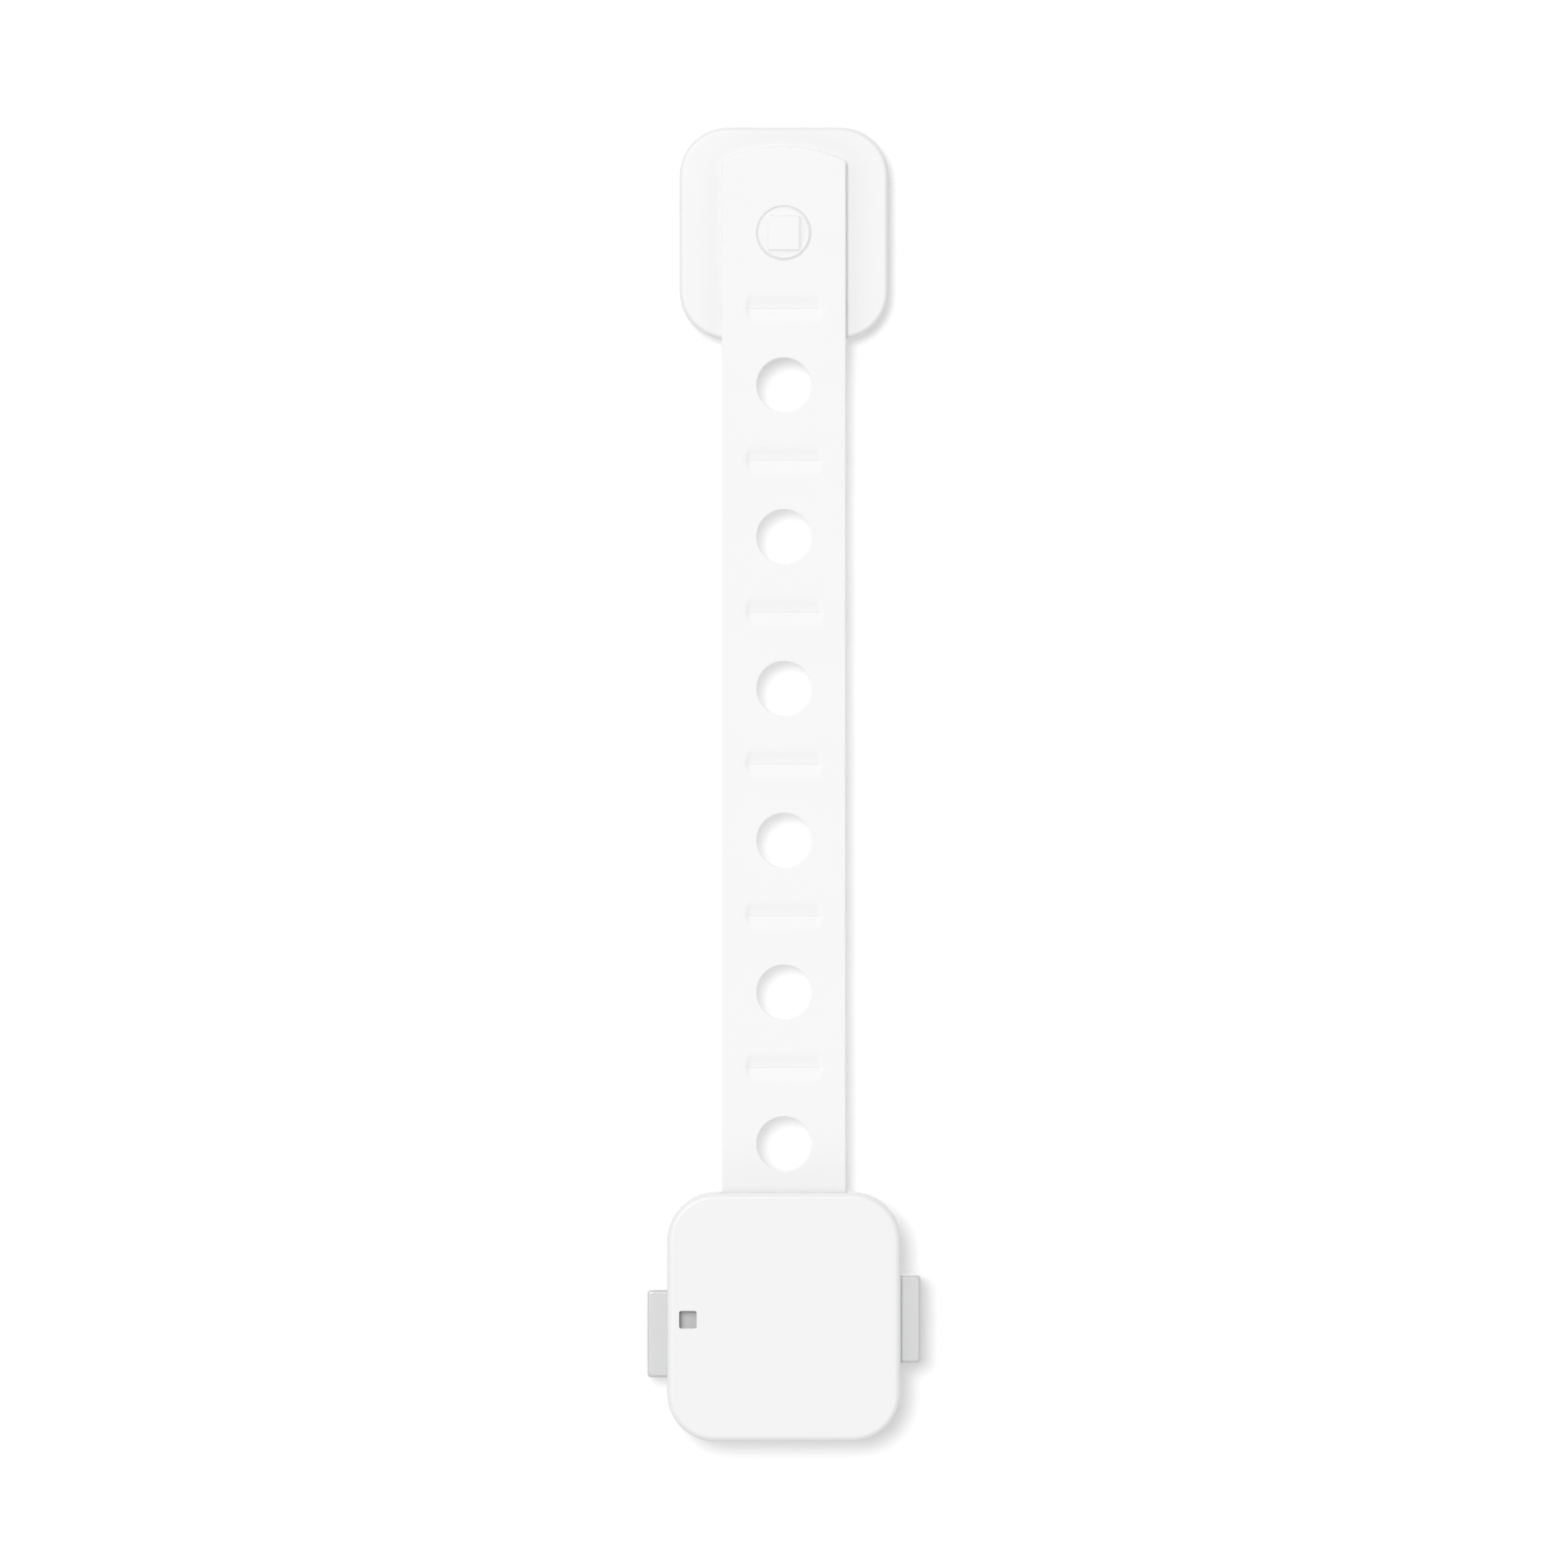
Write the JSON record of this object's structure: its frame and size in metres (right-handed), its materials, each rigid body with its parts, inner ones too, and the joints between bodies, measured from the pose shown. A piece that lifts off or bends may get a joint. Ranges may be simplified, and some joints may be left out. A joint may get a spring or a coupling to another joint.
{
  "type": "adhesive strap lock",
  "caption": "Adhesive window and cupboard strap lock: flat latch with two side buttons, perforated strap that bends at its creases, swivelling anchor plate with a peg.",
  "frame": {"origin": "middle of the latch's adhesive face", "axes": "+Y along the strap from latch to anchor, +Z away from the panel the lock is stuck to, +X to the right seen from above with the latch nearest"},
  "size_m": [0.0456, 0.2198, 0.0098],
  "materials": {
    "shell": "satin moulded plastic, fine grain",
    "strap": "soft flexible plastic, matt",
    "button": "satin moulded plastic, pale grey",
    "adhesive": "closed-cell foam tape, matt",
    "catch": "natural acetal, satin",
    "steel": "drawn wire, bright"
  },
  "bodies": {
    "latch": {"latch_cover": "shell", "latch_base": "shell", "latch_adhesive": "adhesive", "left_spring": "steel", "right_spring": "steel"},
    "left_button": {"left_button": "button", "left_catch": "catch"},
    "right_button": {"right_button": "button", "right_catch": "catch"},
    "strap_end": {"strap_tongue": "catch", "tongue_rivets": "steel", "strap_root": "strap"},
    "strap_1": {"strap_section_1": "strap"},
    "strap_2": {"strap_section_2": "strap"},
    "strap_3": {"strap_section_3": "strap"},
    "strap_4": {"strap_section_4": "strap"},
    "strap_5": {"strap_section_5": "strap"},
    "strap_6": {"strap_section_6": "strap"},
    "strap_7": {"strap_section_7": "strap"},
    "anchor": {"anchor_plate": "shell", "anchor_peg": "shell", "anchor_adhesive": "adhesive"}
  },
  "joints": [
    {"name": "left_button_press", "type": "slide", "parent": "latch", "child": "left_button", "axis": [1, 0, 0], "range_m": [0, 0.0025], "stiffness_N_per_m": 400, "springref_m": -0.001, "deforming": ["left_spring"]},
    {"name": "right_button_press", "type": "slide", "parent": "latch", "child": "right_button", "axis": [-1, 0, 0], "range_m": [0, 0.0025], "stiffness_N_per_m": 400, "springref_m": -0.001, "deforming": ["right_spring"]},
    {"name": "strap_release", "type": "slide", "parent": "latch", "child": "strap_end", "axis": [0, 1, 0], "range_m": [0, 0.03], "deforming": ["left_catch", "right_catch"]},
    {"name": "strap_bend_1", "type": "hinge", "parent": "strap_end", "child": "strap_1", "pos_m": [0, 0.0224, 0.0052], "axis": [1, 0, 0], "range_deg": [-38, 38], "stiffness_Nm_per_rad": 0.02},
    {"name": "strap_bend_2", "type": "hinge", "parent": "strap_1", "child": "strap_2", "pos_m": [0, 0.0416, 0.0052], "axis": [1, 0, 0], "range_deg": [-38, 38], "stiffness_Nm_per_rad": 0.02},
    {"name": "strap_bend_3", "type": "hinge", "parent": "strap_2", "child": "strap_3", "pos_m": [0, 0.067, 0.0052], "axis": [1, 0, 0], "range_deg": [-38, 38], "stiffness_Nm_per_rad": 0.02},
    {"name": "strap_bend_4", "type": "hinge", "parent": "strap_3", "child": "strap_4", "pos_m": [0, 0.0924, 0.0052], "axis": [1, 0, 0], "range_deg": [-38, 38], "stiffness_Nm_per_rad": 0.02},
    {"name": "strap_bend_5", "type": "hinge", "parent": "strap_4", "child": "strap_5", "pos_m": [0, 0.1178, 0.0052], "axis": [1, 0, 0], "range_deg": [-38, 38], "stiffness_Nm_per_rad": 0.02},
    {"name": "strap_bend_6", "type": "hinge", "parent": "strap_5", "child": "strap_6", "pos_m": [0, 0.1432, 0.0052], "axis": [1, 0, 0], "range_deg": [-38, 38], "stiffness_Nm_per_rad": 0.02},
    {"name": "strap_bend_7", "type": "hinge", "parent": "strap_6", "child": "strap_7", "pos_m": [0, 0.1686, 0.0052], "axis": [1, 0, 0], "range_deg": [0, 38], "stiffness_Nm_per_rad": 0.02},
    {"name": "anchor_swivel", "type": "hinge", "parent": "strap_7", "child": "anchor", "pos_m": [0, 0.1813, 0.0044], "axis": [0, 0, 1], "continuous": true}
  ]
}
